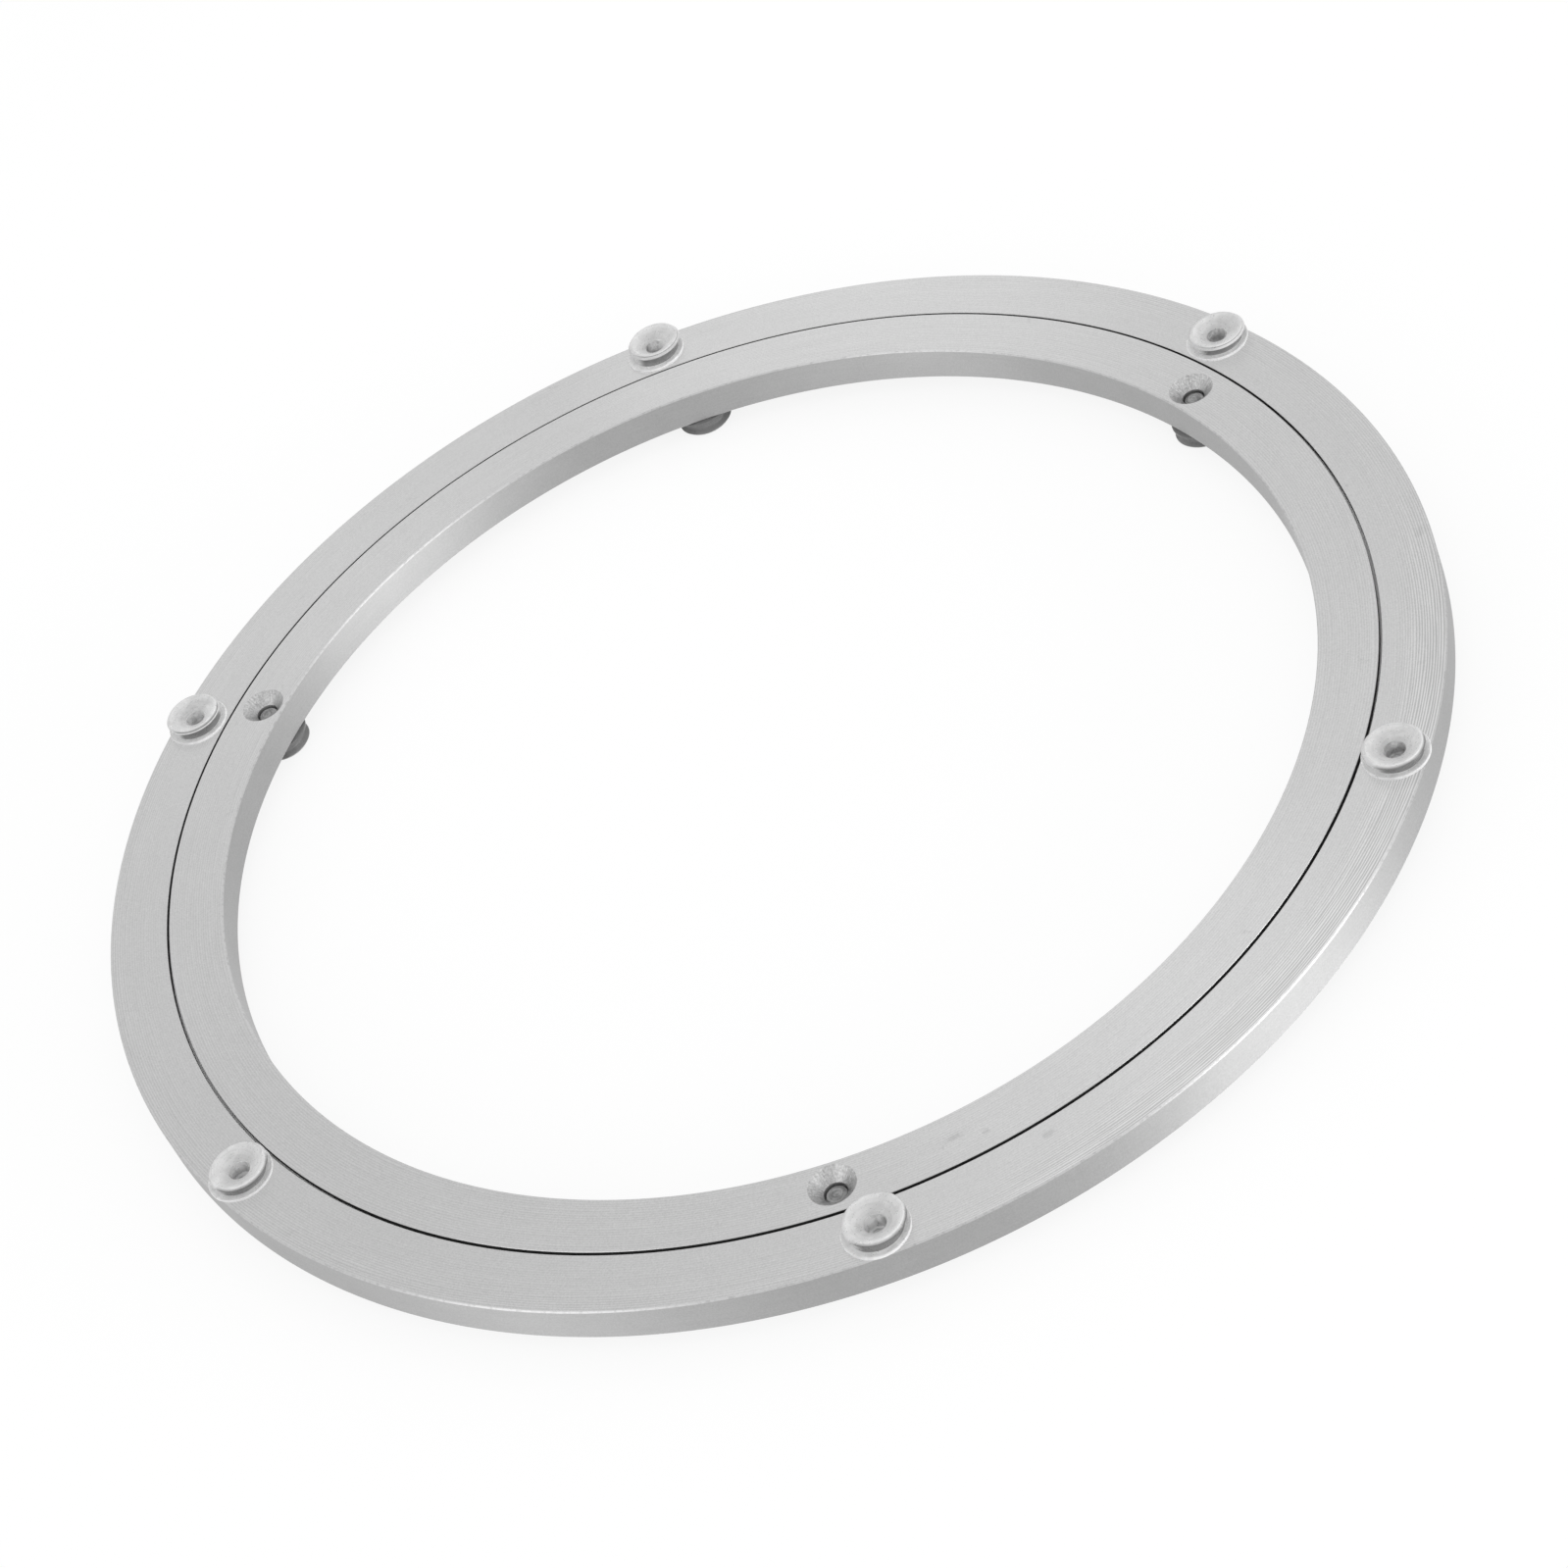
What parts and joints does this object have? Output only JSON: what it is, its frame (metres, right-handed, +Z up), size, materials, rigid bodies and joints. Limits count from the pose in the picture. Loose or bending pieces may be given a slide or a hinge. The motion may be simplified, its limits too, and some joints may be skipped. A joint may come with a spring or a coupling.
{
  "type": "lazy susan bearing",
  "caption": "Flat aluminium ring bearing for a turntable: an outer ring with clear grip pads turns on a ball race round an inner ring with clear feet.",
  "frame": {"origin": "on the bearing's axis, in the plane that the feet stand on", "axes": "+Z up along the axis of turning; +X through the countersunk hole over the first foot"},
  "size_m": [0.301, 0.3, 0.0163],
  "materials": {
    "inner_ring": "satin, clear anodised",
    "outer_ring": "satin, clear anodised",
    "fill_plug": "satin",
    "cage": "natural nylon",
    "balls": "polished steel",
    "feet": "clear silicone",
    "pads": "clear silicone"
  },
  "bodies": {
    "inner": {"inner_ring": "inner_ring", "foot_1": "feet", "foot_2": "feet", "foot_3": "feet", "foot_4": "feet", "foot_5": "feet", "foot_6": "feet"},
    "outer": {"outer_ring": "outer_ring", "fill_plug": "fill_plug", "pad_1": "pads", "pad_2": "pads", "pad_3": "pads", "pad_4": "pads", "pad_5": "pads", "pad_6": "pads"},
    "race": {"cage": "cage"},
    "ball_01": {"ball_01": "balls"},
    "ball_02": {"ball_02": "balls"},
    "ball_03": {"ball_03": "balls"},
    "ball_04": {"ball_04": "balls"},
    "ball_05": {"ball_05": "balls"},
    "ball_06": {"ball_06": "balls"},
    "ball_07": {"ball_07": "balls"},
    "ball_08": {"ball_08": "balls"},
    "ball_09": {"ball_09": "balls"},
    "ball_10": {"ball_10": "balls"},
    "ball_11": {"ball_11": "balls"},
    "ball_12": {"ball_12": "balls"},
    "ball_13": {"ball_13": "balls"},
    "ball_14": {"ball_14": "balls"},
    "ball_15": {"ball_15": "balls"},
    "ball_16": {"ball_16": "balls"},
    "ball_17": {"ball_17": "balls"},
    "ball_18": {"ball_18": "balls"},
    "ball_19": {"ball_19": "balls"},
    "ball_20": {"ball_20": "balls"},
    "ball_21": {"ball_21": "balls"},
    "ball_22": {"ball_22": "balls"},
    "ball_23": {"ball_23": "balls"},
    "ball_24": {"ball_24": "balls"},
    "ball_25": {"ball_25": "balls"},
    "ball_26": {"ball_26": "balls"},
    "ball_27": {"ball_27": "balls"},
    "ball_28": {"ball_28": "balls"},
    "ball_29": {"ball_29": "balls"},
    "ball_30": {"ball_30": "balls"},
    "ball_31": {"ball_31": "balls"},
    "ball_32": {"ball_32": "balls"},
    "ball_33": {"ball_33": "balls"},
    "ball_34": {"ball_34": "balls"},
    "ball_35": {"ball_35": "balls"},
    "ball_36": {"ball_36": "balls"}
  },
  "joints": [
    {"name": "turn", "type": "hinge", "parent": "inner", "child": "outer", "pos_m": [0, 0, 0.00835], "axis": [0, 0, 1], "continuous": true},
    {"name": "cage_turn", "type": "hinge", "parent": "inner", "child": "race", "pos_m": [0, 0, 0.00835], "axis": [0, 0, 1], "continuous": true},
    {"name": "spin_01", "type": "hinge", "parent": "race", "child": "ball_01", "pos_m": [0.1362, 0, 0.00835], "axis": [0, 0, 1], "continuous": true},
    {"name": "spin_02", "type": "hinge", "parent": "race", "child": "ball_02", "pos_m": [0.13413, 0.02365, 0.00835], "axis": [0, 0, 1], "continuous": true},
    {"name": "spin_03", "type": "hinge", "parent": "race", "child": "ball_03", "pos_m": [0.12799, 0.04658, 0.00835], "axis": [0, 0, 1], "continuous": true},
    {"name": "spin_04", "type": "hinge", "parent": "race", "child": "ball_04", "pos_m": [0.11795, 0.0681, 0.00835], "axis": [0, 0, 1], "continuous": true},
    {"name": "spin_05", "type": "hinge", "parent": "race", "child": "ball_05", "pos_m": [0.10434, 0.08755, 0.00835], "axis": [0, 0, 1], "continuous": true},
    {"name": "spin_06", "type": "hinge", "parent": "race", "child": "ball_06", "pos_m": [0.08755, 0.10434, 0.00835], "axis": [0, 0, 1], "continuous": true},
    {"name": "spin_07", "type": "hinge", "parent": "race", "child": "ball_07", "pos_m": [0.0681, 0.11795, 0.00835], "axis": [0, 0, 1], "continuous": true},
    {"name": "spin_08", "type": "hinge", "parent": "race", "child": "ball_08", "pos_m": [0.04658, 0.12799, 0.00835], "axis": [0, 0, 1], "continuous": true},
    {"name": "spin_09", "type": "hinge", "parent": "race", "child": "ball_09", "pos_m": [0.02365, 0.13413, 0.00835], "axis": [0, 0, 1], "continuous": true},
    {"name": "spin_10", "type": "hinge", "parent": "race", "child": "ball_10", "pos_m": [0, 0.1362, 0.00835], "axis": [0, 0, 1], "continuous": true},
    {"name": "spin_11", "type": "hinge", "parent": "race", "child": "ball_11", "pos_m": [-0.02365, 0.13413, 0.00835], "axis": [0, 0, 1], "continuous": true},
    {"name": "spin_12", "type": "hinge", "parent": "race", "child": "ball_12", "pos_m": [-0.04658, 0.12799, 0.00835], "axis": [0, 0, 1], "continuous": true},
    {"name": "spin_13", "type": "hinge", "parent": "race", "child": "ball_13", "pos_m": [-0.0681, 0.11795, 0.00835], "axis": [0, 0, 1], "continuous": true},
    {"name": "spin_14", "type": "hinge", "parent": "race", "child": "ball_14", "pos_m": [-0.08755, 0.10434, 0.00835], "axis": [0, 0, 1], "continuous": true},
    {"name": "spin_15", "type": "hinge", "parent": "race", "child": "ball_15", "pos_m": [-0.10434, 0.08755, 0.00835], "axis": [0, 0, 1], "continuous": true},
    {"name": "spin_16", "type": "hinge", "parent": "race", "child": "ball_16", "pos_m": [-0.11795, 0.0681, 0.00835], "axis": [0, 0, 1], "continuous": true},
    {"name": "spin_17", "type": "hinge", "parent": "race", "child": "ball_17", "pos_m": [-0.12799, 0.04658, 0.00835], "axis": [0, 0, 1], "continuous": true},
    {"name": "spin_18", "type": "hinge", "parent": "race", "child": "ball_18", "pos_m": [-0.13413, 0.02365, 0.00835], "axis": [0, 0, 1], "continuous": true},
    {"name": "spin_19", "type": "hinge", "parent": "race", "child": "ball_19", "pos_m": [-0.1362, 0, 0.00835], "axis": [0, 0, 1], "continuous": true},
    {"name": "spin_20", "type": "hinge", "parent": "race", "child": "ball_20", "pos_m": [-0.13413, -0.02365, 0.00835], "axis": [0, 0, 1], "continuous": true},
    {"name": "spin_21", "type": "hinge", "parent": "race", "child": "ball_21", "pos_m": [-0.12799, -0.04658, 0.00835], "axis": [0, 0, 1], "continuous": true},
    {"name": "spin_22", "type": "hinge", "parent": "race", "child": "ball_22", "pos_m": [-0.11795, -0.0681, 0.00835], "axis": [0, 0, 1], "continuous": true},
    {"name": "spin_23", "type": "hinge", "parent": "race", "child": "ball_23", "pos_m": [-0.10434, -0.08755, 0.00835], "axis": [0, 0, 1], "continuous": true},
    {"name": "spin_24", "type": "hinge", "parent": "race", "child": "ball_24", "pos_m": [-0.08755, -0.10434, 0.00835], "axis": [0, 0, 1], "continuous": true},
    {"name": "spin_25", "type": "hinge", "parent": "race", "child": "ball_25", "pos_m": [-0.0681, -0.11795, 0.00835], "axis": [0, 0, 1], "continuous": true},
    {"name": "spin_26", "type": "hinge", "parent": "race", "child": "ball_26", "pos_m": [-0.04658, -0.12799, 0.00835], "axis": [0, 0, 1], "continuous": true},
    {"name": "spin_27", "type": "hinge", "parent": "race", "child": "ball_27", "pos_m": [-0.02365, -0.13413, 0.00835], "axis": [0, 0, 1], "continuous": true},
    {"name": "spin_28", "type": "hinge", "parent": "race", "child": "ball_28", "pos_m": [0, -0.1362, 0.00835], "axis": [0, 0, 1], "continuous": true},
    {"name": "spin_29", "type": "hinge", "parent": "race", "child": "ball_29", "pos_m": [0.02365, -0.13413, 0.00835], "axis": [0, 0, 1], "continuous": true},
    {"name": "spin_30", "type": "hinge", "parent": "race", "child": "ball_30", "pos_m": [0.04658, -0.12799, 0.00835], "axis": [0, 0, 1], "continuous": true},
    {"name": "spin_31", "type": "hinge", "parent": "race", "child": "ball_31", "pos_m": [0.0681, -0.11795, 0.00835], "axis": [0, 0, 1], "continuous": true},
    {"name": "spin_32", "type": "hinge", "parent": "race", "child": "ball_32", "pos_m": [0.08755, -0.10434, 0.00835], "axis": [0, 0, 1], "continuous": true},
    {"name": "spin_33", "type": "hinge", "parent": "race", "child": "ball_33", "pos_m": [0.10434, -0.08755, 0.00835], "axis": [0, 0, 1], "continuous": true},
    {"name": "spin_34", "type": "hinge", "parent": "race", "child": "ball_34", "pos_m": [0.11795, -0.0681, 0.00835], "axis": [0, 0, 1], "continuous": true},
    {"name": "spin_35", "type": "hinge", "parent": "race", "child": "ball_35", "pos_m": [0.12799, -0.04658, 0.00835], "axis": [0, 0, 1], "continuous": true},
    {"name": "spin_36", "type": "hinge", "parent": "race", "child": "ball_36", "pos_m": [0.13413, -0.02365, 0.00835], "axis": [0, 0, 1], "continuous": true}
  ],
  "couplings": [
    {"joint": "cage_turn", "follows": "turn", "ratio": 0.50734},
    {"joint": "spin_01", "follows": "turn", "ratio": 34.043},
    {"joint": "spin_02", "follows": "turn", "ratio": 34.043},
    {"joint": "spin_03", "follows": "turn", "ratio": 34.043},
    {"joint": "spin_04", "follows": "turn", "ratio": 34.043},
    {"joint": "spin_05", "follows": "turn", "ratio": 34.043},
    {"joint": "spin_06", "follows": "turn", "ratio": 34.043},
    {"joint": "spin_07", "follows": "turn", "ratio": 34.043},
    {"joint": "spin_08", "follows": "turn", "ratio": 34.043},
    {"joint": "spin_09", "follows": "turn", "ratio": 34.043},
    {"joint": "spin_10", "follows": "turn", "ratio": 34.043},
    {"joint": "spin_11", "follows": "turn", "ratio": 34.043},
    {"joint": "spin_12", "follows": "turn", "ratio": 34.043},
    {"joint": "spin_13", "follows": "turn", "ratio": 34.043},
    {"joint": "spin_14", "follows": "turn", "ratio": 34.043},
    {"joint": "spin_15", "follows": "turn", "ratio": 34.043},
    {"joint": "spin_16", "follows": "turn", "ratio": 34.043},
    {"joint": "spin_17", "follows": "turn", "ratio": 34.043},
    {"joint": "spin_18", "follows": "turn", "ratio": 34.043},
    {"joint": "spin_19", "follows": "turn", "ratio": 34.043},
    {"joint": "spin_20", "follows": "turn", "ratio": 34.043},
    {"joint": "spin_21", "follows": "turn", "ratio": 34.043},
    {"joint": "spin_22", "follows": "turn", "ratio": 34.043},
    {"joint": "spin_23", "follows": "turn", "ratio": 34.043},
    {"joint": "spin_24", "follows": "turn", "ratio": 34.043},
    {"joint": "spin_25", "follows": "turn", "ratio": 34.043},
    {"joint": "spin_26", "follows": "turn", "ratio": 34.043},
    {"joint": "spin_27", "follows": "turn", "ratio": 34.043},
    {"joint": "spin_28", "follows": "turn", "ratio": 34.043},
    {"joint": "spin_29", "follows": "turn", "ratio": 34.043},
    {"joint": "spin_30", "follows": "turn", "ratio": 34.043},
    {"joint": "spin_31", "follows": "turn", "ratio": 34.043},
    {"joint": "spin_32", "follows": "turn", "ratio": 34.043},
    {"joint": "spin_33", "follows": "turn", "ratio": 34.043},
    {"joint": "spin_34", "follows": "turn", "ratio": 34.043},
    {"joint": "spin_35", "follows": "turn", "ratio": 34.043},
    {"joint": "spin_36", "follows": "turn", "ratio": 34.043}
  ]
}
